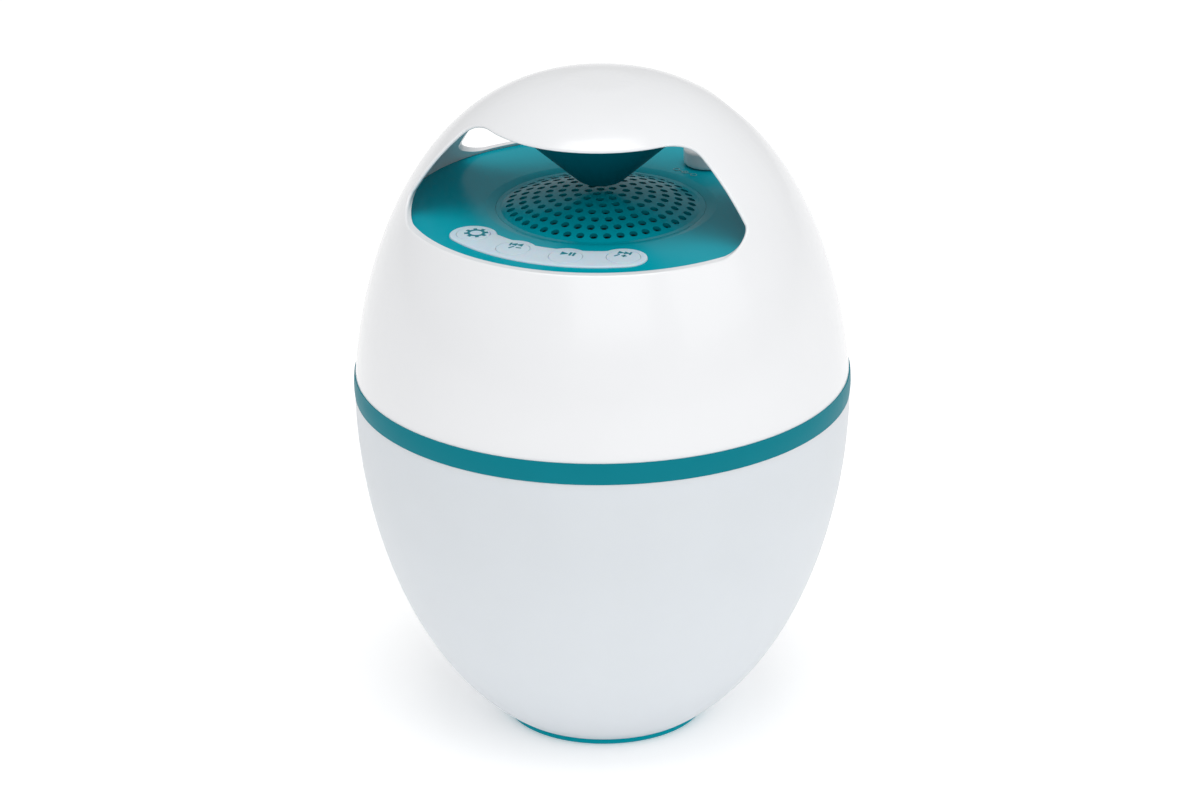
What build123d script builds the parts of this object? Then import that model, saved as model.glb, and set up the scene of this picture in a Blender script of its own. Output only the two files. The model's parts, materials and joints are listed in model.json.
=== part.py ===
from build123d import *
from math import asin, atan2, cos, degrees, hypot, pi, radians, sin, sqrt
import os

# Floating egg-shaped party speaker. Millimetres, +Z up, origin at the centre of the foot's underside,
# -Y is the side with the keys, +X is to the right of someone facing the keys.

# ---- Egg outline: two power curves that meet at the widest level ----
shell_diameter = 179.3      # widest part of both shells
overall_height = 244.2      # foot to crown
equator_z = 126.9           # level of the widest part
lower_tip_z = -8.9          # where the lower curve would close, cut off by the foot
upper_rise, upper_round = 1.743, 2.554
lower_rise, lower_round = 1.898, 2.159
curve_spans = 14            # spline spans along each half of the outline
fit_gap = 0.2               # general clearance between moulded pieces that slip together
running_gap = 0.05          # radial clearance of a sliding stem in its bore
thread_gap = 0.02           # radial clearance between a screw and its pilot hole

# ---- Shells, band, foot and the neck that joins them ----
upper_wall = 2.6
lower_wall = 2.6
floor_thickness = 3.0
foot_height = 2.4
foot_inset = 0.8            # foot edge inside the shell's outline
peg_radius = 2.0
peg_pitch_radius = 24.0
peg_height = 1.6
band_width = 7.9
band_proud = 0.35
band_thickness = 3.1
band_below_equator = 0.2
neck_wall = 2.4
neck_root = 7.0             # height of the thick ring that carries each neck
seal_height = 2.0
lower_neck_height = 2.9     # above the band's lower edge

# ---- Hood windows ----
sill_above_deck = 1.0
window_top_share = 0.897    # window's top, as a share of the rise from the equator to the crown
window_side_margin = 7.4    # level distance left between the window and the egg's outline
window_lower_corner = 5.0
window_upper_corner = 20.0
window_round = 0.7          # rounding of the window's outer edge

# ---- Middle frame and what joins the halves ----
frame_thickness = 3.0
frame_gap = 0.8
frame_bosses = 6
boss_radius = 4.6
boss_height = 30.0
boss_rib = 3.0
pad_radius = 4.0
pad_height = 2.7
bolt_radius = 2.0
bolt_head_radius = 4.6
bolt_head_height = 3.4
nut_across_flats = 7.0
nut_height = 3.2
centre_boss_radius = 9.0
centre_boss_height = 4.0
pillar_radius = 6.0
pillar_flange_radius = 14.0
pillar_flange_height = 2.0
ballast_radius = 30.0
ballast_height = 12.0

# ---- Screws (all the same pan-head type) ----
screw_radius = 1.25
screw_head_radius = 2.6
screw_head_height = 1.8
clearance_hole = 1.6

# ---- Mood light ----
board_thickness = 1.6
light_board_radius = 40.0
light_board_hole = 8.0
light_chip_count = 12
light_chip_side = 5.0
light_chip_height = 1.2
light_chip_circle = 28.0

# ---- Battery and main board ----
cell_radius = 9.2
cell_length = 65.0
cell_gap = 2.0
holder_floor = 2.0
holder_wall = 2.5
contact_thickness = 0.6
main_board_length = 104.0
main_board_width = 72.0
board_above_cells = 2.1
post_radius = 3.0
post_x, post_y = 45.0, 29.0
part_height = 2.8           # tallest component on the main board

# ---- Deck ----
deck_top_share = 0.597613   # deck's top, as a share of the rise from the equator to the crown
deck_thickness = 3.0
skirt_inset = 6.0           # skirt inside the deck plate's rim
skirt_wall = 2.2
deck_flange_drop = 21.0     # flange below the deck's top
deck_flange_thickness = 2.5
deck_bosses = 4
deck_boss_radius = 3.6
deck_boss_height = 8.0
deck_boss_clear = 0.1       # between the deck plate's rim and the bosses it passes on its way in
deck_seal_drop = 0.9
deck_seal_height = 1.2
deck_seal_depth = 1.6

# ---- Speaker grille ----
grille_radius = 37.6
grille_rim_width = 3.0
grille_rim_thickness = 0.9
grille_sphere = 100.0
grille_rise = 5.9           # apex above the deck's top
grille_thickness = 1.2
grille_ledge_depth = 1.6
grille_ledge_width = 6.6
grille_gap = 0.1            # radial clearance in the deck's recess
grille_slope_width = 3.7    # deck's shoulder that falls towards the grille
grille_hole_radius = 1.45
grille_ring_step = 4.7
grille_rim_to_ring = 2.0    # from the rim's inner edge to the outermost ring of holes
grille_hole_pitch = 4.8

# ---- Driver ----
driver_flange_radius = 40.5
driver_flange_thickness = 2.0
driver_ring_depth = 2.5     # how far the deck's fixing ring hangs below the deck
gasket_thickness = 0.8
driver_screw_circle = 36.5
driver_screws_count = 4
basket_top_radius = 32.5
basket_bottom_radius = 26.0
basket_wall = 1.6
basket_depth = 16.7
cone_radius = 24.0
surround_radius = 29.0
coil_radius = 9.85
top_plate_radius = 24.0
top_plate_thickness = 4.0
magnet_radius = 27.0
magnet_thickness = 7.0
yoke_thickness = 3.0

# ---- Keys ----
key_names = ["light", "previous", "play", "next"]
first_key_angle = -39.4     # from -Y, positive towards +X
key_pitch_angle = 21.6
key_circle = 54.0
key_radius = 6.0
key_slot_gap = 0.15
key_top_proud = 0.15        # above the keypad strip
key_travel = 0.6
key_edge_round = 0.3
key_post_radius = 2.4
strip_lobe_radius = 8.5
strip_inner_radius = 47.2
strip_thickness = 2.2
strip_proud = 0.6
switch_side = 6.0
switch_height = 3.5
switch_stem_radius = 1.7
key_board_drop = 10.5       # key board's top below the deck's top
key_board_margin = 4.5

# ---- Charge socket and its cap ----
cap_x, cap_y = 25.3, 51.3
cap_radius = 9.0
cap_height = 7.0
cap_stem_radius = 5.5
cap_stem_length = 9.0
cap_well_depth = 11.0
cap_well_wall = 1.8
cap_well_floor = 1.5
socket_radius = 4.8
socket_length = 10.0
socket_nose_radius = 2.8
socket_bore_radius = 1.8
cap_seal_section = 0.9

# ---- Sound deflector under the crown ----
cone_tip_above_deck = 9.2
cone_tip_radius = 7.3
cone_tip_round = 6.0
cone_base_share = 0.8789    # cone's base, as a share of the rise from the equator to the crown
cone_base_radius = 33.6
cone_flange_width = 2.6
cone_flange_height = 2.0
cone_wall = 2.0
plate_thickness = 2.0
crown_boss_radius = 3.2
crown_boss_circle = 20.0
crown_boss_count = 3

lead_radius = 1.2

# ---- Egg outline ----
shell_radius = shell_diameter / 2
crown_rise = overall_height - equator_z
lower_drop = equator_z - lower_tip_z


def egg_radius(z):
    """Radius of the egg's outer surface at a height."""
    if z >= equator_z:
        t = (z - equator_z) / crown_rise
        return shell_radius * (1 - t ** upper_rise) ** (1 / upper_round)
    t = (equator_z - z) / lower_drop
    return shell_radius * (1 - t ** lower_rise) ** (1 / lower_round)


def egg_point(z, inset):
    """Point (radius, z) of the outline at a height, moved inwards along the surface's normal."""
    step = 0.01
    slope = (egg_radius(z + step) - egg_radius(z - step)) / (2 * step)
    length = sqrt(1 + slope ** 2)
    return (egg_radius(z) - inset / length, z + inset * slope / length)


def upper_points(inset):
    """Outline points from the equator to just short of the crown, spaced evenly in angle."""
    angles = [pi / 2 * i / curve_spans for i in range(1, curve_spans)]
    return [egg_point(equator_z + crown_rise * sin(a) ** (2 / upper_rise), inset) for a in angles]


def lower_points(inset):
    """Outline points from the equator down to below the foot."""
    lowest = asin(((equator_z + 2.0) / lower_drop) ** (lower_rise / 2))
    angles = [lowest * i / curve_spans for i in range(1, curve_spans + 1)]
    return [egg_point(equator_z - lower_drop * sin(a) ** (2 / lower_rise), inset) for a in angles]


def upper_egg(inset):
    """Solid upper half of the egg, drawn in by inset."""
    start = (shell_radius - inset, equator_z)
    crown = (0, overall_height - inset)
    curve = Spline(start, *upper_points(inset), crown, tangents=[(0, 1), (-1, 0)])
    sides = Polyline(crown, (0, equator_z), start)
    return revolve(Plane.XZ * make_face(curve + sides), Axis.Z)


def lower_egg(inset):
    """Solid lower half of the egg, drawn in by inset and running past the foot."""
    start = (shell_radius - inset, equator_z)
    points = lower_points(inset)
    curve = Spline(start, *points)
    sides = Polyline(points[-1], (0, points[-1][1]), (0, equator_z), start)
    return revolve(Plane.XZ * make_face(curve + sides), Axis.Z)


# ---- Levels and radii that follow from the sizes above ----
window_top_z = equator_z + window_top_share * crown_rise
deck_top_z = equator_z + deck_top_share * crown_rise
band_low = equator_z - band_below_equator
band_high = band_low + band_width
band_outer = shell_radius + band_proud
neck_outer = band_outer - band_thickness - fit_gap / 2
neck_inner = neck_outer - neck_wall
seal_low = band_low + lower_neck_height
seal_high = seal_low + seal_height
floor_top = foot_height + floor_thickness
centre_boss_top = floor_top + centre_boss_height
frame_top = seal_low - 0.6
frame_low = frame_top - frame_thickness
frame_radius = neck_inner - frame_gap
boss_low = frame_top + pad_height
boss_circle = neck_inner - 1.0 - pad_radius
light_board_low = frame_low - board_thickness
cell_z = frame_top + holder_floor + cell_radius
cell_y = cell_radius + cell_gap / 2
board_low = cell_z + cell_radius + board_above_cells
board_top = board_low + board_thickness
deck_low = deck_top_z - deck_thickness
sill_z = deck_top_z + sill_above_deck
deck_rim_radius = egg_point(deck_low, upper_wall + fit_gap)[0]
skirt_outer_radius = deck_rim_radius - skirt_inset
deck_boss_pitch = deck_rim_radius + deck_boss_clear + deck_boss_radius
deck_flange_top_z = deck_top_z - deck_flange_drop
deck_flange_low = deck_flange_top_z - deck_flange_thickness
deck_seal_top = deck_top_z - deck_seal_drop
deck_seal_low = deck_seal_top - deck_seal_height
deck_seal_inner = egg_radius(deck_seal_top) - upper_wall * 1.12 - deck_seal_depth
ledge_z = deck_top_z - grille_ledge_depth
grille_rim_top = ledge_z + grille_rim_thickness
grille_apex_z = deck_top_z + grille_rise
grille_opening = grille_radius - grille_ledge_width
grille_first_ring = grille_radius - grille_rim_width - grille_rim_to_ring
driver_ring_low = deck_low - driver_ring_depth
driver_top = driver_ring_low - gasket_thickness
driver_flange_low = driver_top - driver_flange_thickness
basket_low = driver_flange_low - basket_depth
top_plate_low = basket_low - top_plate_thickness
magnet_low = top_plate_low - magnet_thickness
yoke_low = magnet_low - yoke_thickness
strip_low = deck_top_z + strip_proud - strip_thickness
strip_top = deck_top_z + strip_proud
strip_outer_radius = key_circle + strip_lobe_radius
key_top = strip_top + key_top_proud
key_cap_low = strip_low + key_travel + 0.1
key_board_top = deck_top_z - key_board_drop
key_board_low = key_board_top - board_thickness
switch_top = key_board_top + switch_height
key_post_low = switch_top + key_travel + 0.9
well_floor_z = deck_top_z - cap_well_depth
cone_tip_z = deck_top_z + cone_tip_above_deck
cone_base_z = equator_z + cone_base_share * crown_rise
cone_slope = (cone_base_radius - cone_tip_radius) / (cone_base_z - cone_tip_z)
plate_low = cone_base_z + cone_flange_height
plate_high = plate_low + plate_thickness


# ---- Small helpers ----
def disc(radius, low, high, x=0.0, y=0.0):
    """Upright cylinder between two levels."""
    return Pos(x, y, (low + high) / 2) * Cylinder(radius, high - low)


def ring(inner, outer, low, high, x=0.0, y=0.0):
    """Upright tube between two levels."""
    return disc(outer, low, high, x, y) - disc(inner, low - 1, high + 1, x, y)


def block(length, width, low, high, x=0.0, y=0.0):
    """Upright box between two levels."""
    return Pos(x, y, (low + high) / 2) * Box(length, width, high - low)


def around(count, radius, start=0.0):
    """Evenly spaced places on a circle, as (angle, x, y)."""
    angles = [start + 360 * i / count for i in range(count)]
    return [(a, radius * cos(radians(a)), radius * sin(radians(a))) for a in angles]


def turned(points):
    """Solid of revolution about Z of a closed (radius, z) outline."""
    return revolve(Plane.XZ * make_face(Polyline(*points, close=True)), Axis.Z)


def screw_up(x, y, seat, length):
    """Screw driven upwards: its head is under the seat level."""
    head = disc(screw_head_radius, seat - screw_head_height, seat, x, y)
    slot = block(2.6, 0.6, seat - screw_head_height - 1, seat - screw_head_height + 0.7, x, y)
    return head + disc(screw_radius, seat, seat + length, x, y) - slot


def screw_down(x, y, seat, length):
    """Screw driven downwards: its head stands on the seat level."""
    head = disc(screw_head_radius, seat, seat + screw_head_height, x, y)
    slot = block(2.6, 0.6, seat + screw_head_height - 0.7, seat + screw_head_height + 1, x, y)
    return head + disc(screw_radius, seat - length, seat, x, y) - slot


def pilot(x, y, low, high):
    """Pilot hole for a screw."""
    return disc(screw_radius + thread_gap, low, high, x, y)


def group(pieces):
    """Identical loose pieces kept as separate solids of one node."""
    return Compound(children=[Compound(p.solids()) if len(p.solids()) > 1 else p.solid() for p in pieces])


def lead(points, radii):
    """Round lead along straight runs joined by tangent arcs."""
    path = FilletPolyline(*points, radius=radii)
    section = Plane(origin=path @ 0, z_dir=path % 0) * Circle(lead_radius)
    return sweep(section, path=path)


# ---- Shells ----
def make_window():
    """Cutter for the front and back windows, extruded right through the hood."""
    sides = [(x - window_side_margin, z) for x, z in upper_points(0)]
    right = [p for p in sides if p[0] > 1.0]
    start = (shell_radius - window_side_margin, equator_z)
    closing = 1 - (window_side_margin / shell_radius) ** upper_round
    peak = (0, equator_z + crown_rise * closing ** (1 / upper_rise))
    curve = Spline(start, *right, peak, tangents=[(0, 1), (-1, 0)])
    half = make_face(curve + Polyline(peak, (0, equator_z), start))
    band = Pos(0, (sill_z + window_top_z) / 2) * Rectangle(2 * shell_diameter, window_top_z - sill_z)
    outline = (half + mirror(half, Plane.YZ)) & band
    corners = outline.vertices().group_by(Axis.Y)
    outline = fillet(corners[0], window_lower_corner)
    corners = outline.vertices().filter_by(lambda v: v.Y > window_top_z - 0.01).sort_by(Axis.X)
    outline = fillet([corners[0], corners[-1]], window_upper_corner)
    return extrude(Plane.XZ * outline, shell_diameter, both=True)


def make_upper_shell():
    skin = upper_egg(0) - upper_egg(upper_wall)
    skin = skin - disc(shell_diameter, equator_z - 10, band_high)
    skin = skin - make_window()
    rims = [e for e in skin.edges() if is_window_edge(e)]
    skin = fillet(rims, window_round)
    fittings = ring(neck_inner, neck_outer + 1.2, band_high, band_high + neck_root)
    for angle, x, y in around(frame_bosses, boss_circle, 30):
        fittings += disc(boss_radius, boss_low, boss_low + boss_height, x, y)
        rib = Pos(boss_circle + 8, 0, boss_low + boss_height / 2 + 3) * Box(16, boss_rib, boss_height - 6)
        fittings += Rot(0, 0, angle) * rib
    for angle, x, y in around(deck_bosses, deck_boss_pitch, 45):
        fittings += disc(deck_boss_radius, deck_flange_top_z, deck_flange_top_z + deck_boss_height, x, y)
    for angle, x, y in around(crown_boss_count, crown_boss_circle, 90):
        fittings += disc(crown_boss_radius, plate_high, overall_height, x, y)
    shell = skin + (fittings & upper_egg(upper_wall / 3))
    shell += ring(neck_inner, neck_outer, seal_high, band_high + 1)
    shell -= ring(neck_outer, shell_diameter, equator_z, band_high)
    for angle, x, y in around(frame_bosses, boss_circle, 30):
        shell -= pilot(x, y, boss_low - 1, boss_low + 13)
    for angle, x, y in around(deck_bosses, deck_boss_pitch, 45):
        shell -= pilot(x, y, deck_flange_top_z - 1, deck_flange_top_z + 6.5)
    for angle, x, y in around(crown_boss_count, crown_boss_circle, 90):
        shell -= pilot(x, y, plate_high - 1, plate_high + 4)
    return shell


def is_window_edge(edge):
    """True for the edges where the windows break through the outer surface."""
    middle = edge @ 0.5
    if middle.Z < sill_z - 0.1 or middle.Z > window_top_z + 0.1:
        return False
    return abs(hypot(middle.X, middle.Y) - egg_radius(middle.Z)) < 0.1


def make_lower_shell():
    shell = lower_egg(0) - lower_egg(lower_wall)
    shell += lower_egg(lower_wall / 2) & disc(shell_diameter, foot_height, floor_top)
    shell -= disc(shell_diameter, lower_tip_z, foot_height)
    shell -= disc(shell_diameter, band_low, equator_z + 10)
    shell += ring(neck_inner, neck_outer + 1.2, band_low - neck_root, band_low) & lower_egg(lower_wall / 3)
    shell += ring(neck_inner, neck_outer, band_low - 1, seal_low)
    shell += disc(centre_boss_radius, foot_height, centre_boss_top)
    shell -= disc(bolt_head_radius + 0.4, foot_height - 1, foot_height + bolt_head_height + 0.4)
    shell -= disc(bolt_radius + 0.15, foot_height, centre_boss_top + 1)
    for angle, x, y in around(3, peg_pitch_radius, 90):
        shell -= disc(peg_radius + fit_gap / 2, foot_height - 1, foot_height + peg_height + 0.3, x, y)
    return shell


def make_foot():
    radius = egg_radius(foot_height) - foot_inset
    foot = disc(radius, 0, foot_height)
    foot = chamfer(foot.faces().sort_by(Axis.Z)[0].edges(), 0.5)
    foot -= ring(radius - 9, radius - 6, -1, 0.6)
    for angle, x, y in around(3, peg_pitch_radius, 90):
        foot += disc(peg_radius, foot_height - 0.5, foot_height + peg_height, x, y)
    return foot


def make_band():
    """Decorative ring over the joint, very slightly crowned."""
    bulge = 0.25
    edge = band_outer - bulge
    inner = band_outer - band_thickness
    middle = (band_low + band_high) / 2
    face = ThreePointArc((edge, band_low), (band_outer, middle), (edge, band_high))
    sides = Polyline((edge, band_high), (inner, band_high), (inner, band_low), (edge, band_low))
    return revolve(Plane.XZ * make_face(face + sides), Axis.Z)


# ---- Frame and weight ----
def make_mid_frame():
    frame = disc(frame_radius, frame_low, frame_top)
    for angle, x, y in around(frame_bosses, boss_circle, 30):
        frame += disc(pad_radius, frame_low, boss_low, x, y)
        frame -= disc(clearance_hole, frame_low - 1, boss_low + 1, x, y)
    for angle, x, y in around(6, boss_circle - 14, 0):
        frame -= disc(7.0, frame_low - 1, frame_top + 1, x, y)
    for x in (-post_x, post_x):
        for y in (-post_y, post_y):
            frame -= pilot(x, y, frame_low - 1, frame_top + 1)
    for angle, x, y in around(3, light_board_radius - 5, 30):
        frame -= pilot(x, y, frame_low - 1, frame_top + 1)
    frame -= disc(bolt_radius + 0.15, frame_low - 1, frame_top + 1)
    frame -= disc(lead_radius + 0.6, frame_low - 1, frame_top + 1, 0, cell_y + cell_radius + 9)
    return frame


def make_pillar():
    pillar = disc(pillar_radius, centre_boss_top, frame_low)
    seat = floor_top + ballast_height
    pillar += disc(pillar_flange_radius, seat, seat + pillar_flange_height)
    return pillar - disc(bolt_radius + 0.3, centre_boss_top - 1, frame_low + 1)


def make_tie_bolt():
    seat = foot_height + bolt_head_height + 0.4
    head = disc(bolt_head_radius, seat - bolt_head_height, seat)
    socket = extrude(Pos(0, 0, seat - bolt_head_height - 1) * RegularPolygon(1.7, 6), 2.6)
    return head + disc(bolt_radius, seat, frame_top + nut_height + 0.6) - socket


def make_tie_nut():
    outline = Pos(0, 0, frame_top) * RegularPolygon(nut_across_flats / 2, 6, major_radius=False)
    return extrude(outline, nut_height) - disc(bolt_radius + thread_gap, frame_top - 1, frame_top + nut_height + 1)


# ---- Mood light ----
def make_light_board():
    board = ring(light_board_hole, light_board_radius, light_board_low, frame_low)
    for angle, x, y in around(3, light_board_radius - 5, 30):
        board -= disc(clearance_hole, light_board_low - 1, frame_low + 1, x, y)
    return board


def make_light_chips():
    chips = []
    for angle, x, y in around(light_chip_count, light_chip_circle, 0):
        chip = block(light_chip_side, light_chip_side, light_board_low - light_chip_height, light_board_low)
        chips.append(Pos(x, y, 0) * Rot(0, 0, angle) * chip)
    return group(chips)


# ---- Battery ----
def holder_half_length():
    return cell_length / 2 + contact_thickness + holder_wall


def make_battery_holder():
    half = holder_half_length()
    width = 2 * (cell_y + cell_radius + 0.4)
    tray = block(2 * half, width, frame_top, cell_z - 2)
    ends = block(2 * half, width, frame_top, cell_z + 3) - block(2 * (half - holder_wall), width + 2, 0, 300)
    tray += ends
    for side in (-1, 1):
        trough = Pos(0, side * cell_y, cell_z) * Rot(0, 90, 0)
        tray -= trough * Cylinder(cell_radius + fit_gap, 2 * (half - holder_wall))
    tray -= block(2 * (half - holder_wall), width - 2 * cell_radius, cell_z - 5, cell_z - 1)
    tray -= disc(nut_across_flats / 2 + 1.6, frame_top - 1, cell_z)
    return tray


def make_cells():
    cells = []
    for side in (-1, 1):
        cell = Rot(0, 90, 0) * Cylinder(cell_radius, cell_length - 1.0)
        button = Pos(side * (cell_length / 2 - 0.5), 0, 0) * Rot(0, 90, 0) * Cylinder(2.8, 1.0)
        cells.append(Pos(0, side * cell_y, cell_z) * (cell + button))
    return group(cells)


def make_contacts():
    plates = []
    at = cell_length / 2 + contact_thickness / 2
    for end in (-1, 1):
        for side in (-1, 1):
            plate = block(contact_thickness, 9.0, cell_z - 5, cell_z + 4.5, end * at, side * cell_y)
            plates.append(plate)
    return group(plates)


# ---- Main board ----
def post_places():
    return [(x, y) for x in (-post_x, post_x) for y in (-post_y, post_y)]


def make_board_posts():
    posts = []
    for x, y in post_places():
        hexagon = Pos(x, y, frame_top) * RegularPolygon(post_radius, 6)
        post = extrude(hexagon, board_low - frame_top)
        post += disc(screw_radius, frame_low + 0.3, frame_top, x, y)
        posts.append(post - pilot(x, y, board_low - 6, board_low + 1))
    return group(posts)


def make_main_board():
    board = block(main_board_length, main_board_width, board_low, board_top)
    board = fillet(board.edges().filter_by(Axis.Z), 4.0)
    for x, y in post_places():
        board -= disc(clearance_hole, board_low - 1, board_top + 1, x, y)
    return board


def make_board_parts():
    """Amplifier, radio module, inductors, capacitors and sockets on the main board."""
    parts = []
    chips = [(12, 12, 1.2, -8, 8), (8, 8, 1.0, 14, -6), (22, 14, 2.2, 30, 16), (6, 5, 1.0, -26, -14)]
    for length, width, height, x, y in chips:
        parts.append(block(length, width, board_top, board_top + height, x, y))
    for x, y in ((-24, 6), (-24, 18)):
        parts.append(fillet(block(8, 8, board_top, board_top + part_height, x, y).edges().filter_by(Axis.Z), 2))
    for x, y in ((4, -20), (14, -20), (24, -20)):
        parts.append(disc(3.1, board_top, board_top + part_height, x, y))
    for x, y in ((-44, 0), (44, 0), (-6, -31)):
        parts.append(block(5, 8, board_top, board_top + part_height, x, y))
    return group(parts)


# ---- Driver ----
def make_driver_frame():
    flange = ring(surround_radius - 0.4, driver_flange_radius, driver_flange_low, driver_top)
    flange -= ring(surround_radius - 2, surround_radius + 2.6, driver_top - 0.8, driver_top + 1)
    basket = turned([
        (basket_top_radius, driver_flange_low),
        (basket_bottom_radius, basket_low),
        (coil_radius + 1.65, basket_low),
        (coil_radius + 1.65, basket_low + 2),
        (basket_bottom_radius - 6, basket_low + 2),
        (basket_bottom_radius - 6, basket_low + 5),
        (basket_bottom_radius - 2, basket_low + 5),
        (basket_bottom_radius - 2 + 0.25, basket_low + 2.4),
        (basket_top_radius - basket_wall, driver_flange_low),
    ])
    for angle, x, y in around(4, basket_top_radius, 0):
        gap = Pos(x, y, (basket_low + driver_flange_low) / 2 + 2) * Rot(0, 0, angle)
        basket -= gap * Box(26, 24, basket_depth - 9)
    tab = block(6.0, 9.0, basket_low + 1, basket_low + 2.6, -basket_bottom_radius - 2)
    frame = flange + basket + tab
    for angle, x, y in around(driver_screws_count, driver_screw_circle, 45):
        frame -= disc(clearance_hole, driver_flange_low - 1, driver_top + 1, x, y)
    return frame


def make_gasket():
    gasket = ring(surround_radius + 2.7, driver_flange_radius, driver_top, driver_ring_low)
    for angle, x, y in around(driver_screws_count, driver_screw_circle, 45):
        gasket -= disc(clearance_hole, driver_top - 1, driver_ring_low + 1, x, y)
    return gasket


def make_yoke():
    pole = disc(coil_radius - 0.65, yoke_low + 1, basket_low)
    return disc(top_plate_radius, yoke_low, magnet_low) + pole - disc(3.0, yoke_low - 1, basket_low + 1)


def make_voice_coil():
    former = ring(coil_radius - 0.3, coil_radius, top_plate_low - 1.5, basket_low + 9)
    return former + ring(coil_radius - 0.1, coil_radius + 0.5, top_plate_low - 1, basket_low + 1)


def make_diaphragm():
    low = basket_low + 9
    high = driver_top - 0.8
    thick = 0.7
    return turned([
        (coil_radius - 0.3, low),
        (coil_radius + 1.2, low),
        (cone_radius, high - thick),
        (cone_radius, high),
        (cone_radius - 0.9, high),
        (coil_radius - 0.3, low + 1.2),
    ])


def make_dust_cap():
    low = basket_low + 12.0
    outer = coil_radius + 2.4
    rise = 2.6
    thick = 0.6
    steps = 5
    top = [(outer * i / steps, low + rise * (1 - (i / steps) ** 2)) for i in range(steps + 1)]
    under = [(x * (1 - 0.06), low + (z - low) * (rise - thick) / rise) for x, z in reversed(top)]
    return turned(top + under)


def make_surround():
    """Half-roll rubber edge between the cone and the frame's flange."""
    low = driver_top - 0.8
    middle = (cone_radius + surround_radius) / 2
    roll = (surround_radius - cone_radius) / 2
    outer = ThreePointArc((cone_radius, low), (middle, low + roll), (surround_radius, low))
    inner = ThreePointArc((surround_radius - 0.6, low), (middle, low + roll - 0.6), (cone_radius + 0.6, low))
    profile = outer + Line((surround_radius, low), (surround_radius - 0.6, low)) + inner
    profile += Line((cone_radius + 0.6, low), (cone_radius, low))
    lip = ring(surround_radius - 0.6, surround_radius + 2.4, low, low + 0.7)
    return revolve(Plane.XZ * make_face(profile), Axis.Z) + lip


# ---- Deck ----
def strip_outline(grow):
    """Outline of the keypad strip: an arc band with a round lobe at each key."""
    inner = strip_inner_radius - grow
    outer = strip_outer_radius + grow
    sweep_angle = key_pitch_angle * (len(key_names) - 1)
    start = first_key_angle - 90
    ends = []
    for radius in (inner, outer):
        ends.append(CenterArc((0, 0), radius, start, sweep_angle))
    caps = Line(ends[0] @ 0, ends[1] @ 0) + Line(ends[0] @ 1, ends[1] @ 1)
    outline = make_face(ends[0] + ends[1] + caps)
    for x, y in key_places():
        outline += Pos(x, y) * Circle(strip_lobe_radius + grow)
    return outline


def key_places():
    """Centres of the four keys."""
    places = []
    for i in range(len(key_names)):
        angle = radians(first_key_angle + key_pitch_angle * i)
        places.append((key_circle * sin(angle), -key_circle * cos(angle)))
    return places


def key_board_outline():
    angles = (first_key_angle - 10, first_key_angle + key_pitch_angle * (len(key_names) - 1) + 10)
    inner = key_circle - switch_side / 2 - key_board_margin
    outer = skirt_outer_radius - skirt_wall - 1.2
    arcs = [CenterArc((0, 0), r, angles[0] - 90, angles[1] - angles[0]) for r in (inner, outer)]
    caps = Line(arcs[0] @ 0, arcs[1] @ 0) + Line(arcs[0] @ 1, arcs[1] @ 1)
    return make_face(arcs[0] + arcs[1] + caps)


def key_board_screw_places():
    """Three screws of the key board, between the keys."""
    places = []
    for i in range(len(key_names) - 1):
        angle = radians(first_key_angle + key_pitch_angle * (i + 0.5))
        places.append((key_circle * sin(angle), -key_circle * cos(angle)))
    return places


def make_deck():
    plate = disc(shell_diameter, deck_low, deck_top_z) & upper_egg(upper_wall + fit_gap)
    flange = disc(shell_diameter, deck_flange_low, deck_flange_top_z) & upper_egg(upper_wall + 3 * fit_gap)
    skirt_inner = skirt_outer_radius - skirt_wall
    deck = plate + ring(skirt_inner, skirt_outer_radius, deck_flange_low, deck_low + 1)
    deck += flange - disc(skirt_inner, deck_flange_low - 1, deck_flange_top_z + 1)
    deck += disc(driver_flange_radius + 0.5, driver_ring_low, deck_low + 1)
    deck += disc(cap_stem_radius + cap_well_wall, well_floor_z - cap_well_floor, deck_low + 1, cap_x, cap_y)
    for x, y in key_board_screw_places():
        deck += disc(2.6, key_board_top, deck_low + 1, x, y)
    deck -= ring(deck_seal_inner, shell_diameter, deck_seal_low, deck_seal_top)
    deck -= disc(grille_radius + grille_gap, ledge_z, deck_top_z + 1)
    deck -= make_grille_slope()
    deck -= disc(grille_opening, driver_ring_low - 1, ledge_z + 1)
    deck -= extrude(Pos(0, 0, strip_low) * strip_outline(fit_gap / 2), 5)
    for x, y in key_places():
        deck -= disc(key_post_radius + running_gap, deck_low - 1, deck_top_z, x, y)
    for x, y in key_board_screw_places():
        deck -= pilot(x, y, key_board_top - 1, key_board_top + 6)
    deck -= disc(cap_stem_radius + running_gap, well_floor_z, deck_top_z + 1, cap_x, cap_y)
    deck -= disc(socket_nose_radius + 0.1, well_floor_z - 5, well_floor_z + 1, cap_x, cap_y)
    for angle, x, y in around(deck_bosses, deck_boss_pitch, 45):
        deck -= disc(clearance_hole, deck_flange_low - 1, deck_flange_top_z + 1, x, y)
    for angle, x, y in around(driver_screws_count, driver_screw_circle, 45):
        deck -= pilot(x, y, driver_ring_low - 1, driver_ring_low + 3.2)
    return deck


def make_grille_slope():
    """Cutter for the deck's soft shoulder, which falls to the top of the grille's rim."""
    edge = grille_radius + grille_gap
    slope_outer = grille_radius + grille_slope_width
    inner = Polyline((grille_radius - 1, grille_rim_top), (edge, grille_rim_top))
    middle = (edge + slope_outer) / 2, grille_rim_top + 0.62 * (deck_top_z - grille_rim_top)
    curve = ThreePointArc((edge, grille_rim_top), middle, (slope_outer, deck_top_z))
    above = deck_top_z + 1
    outer = Polyline((slope_outer, deck_top_z), (slope_outer, above), (grille_radius - 1, above),
                     (grille_radius - 1, grille_rim_top))
    return revolve(Plane.XZ * make_face(inner + curve + outer), Axis.Z)


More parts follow.
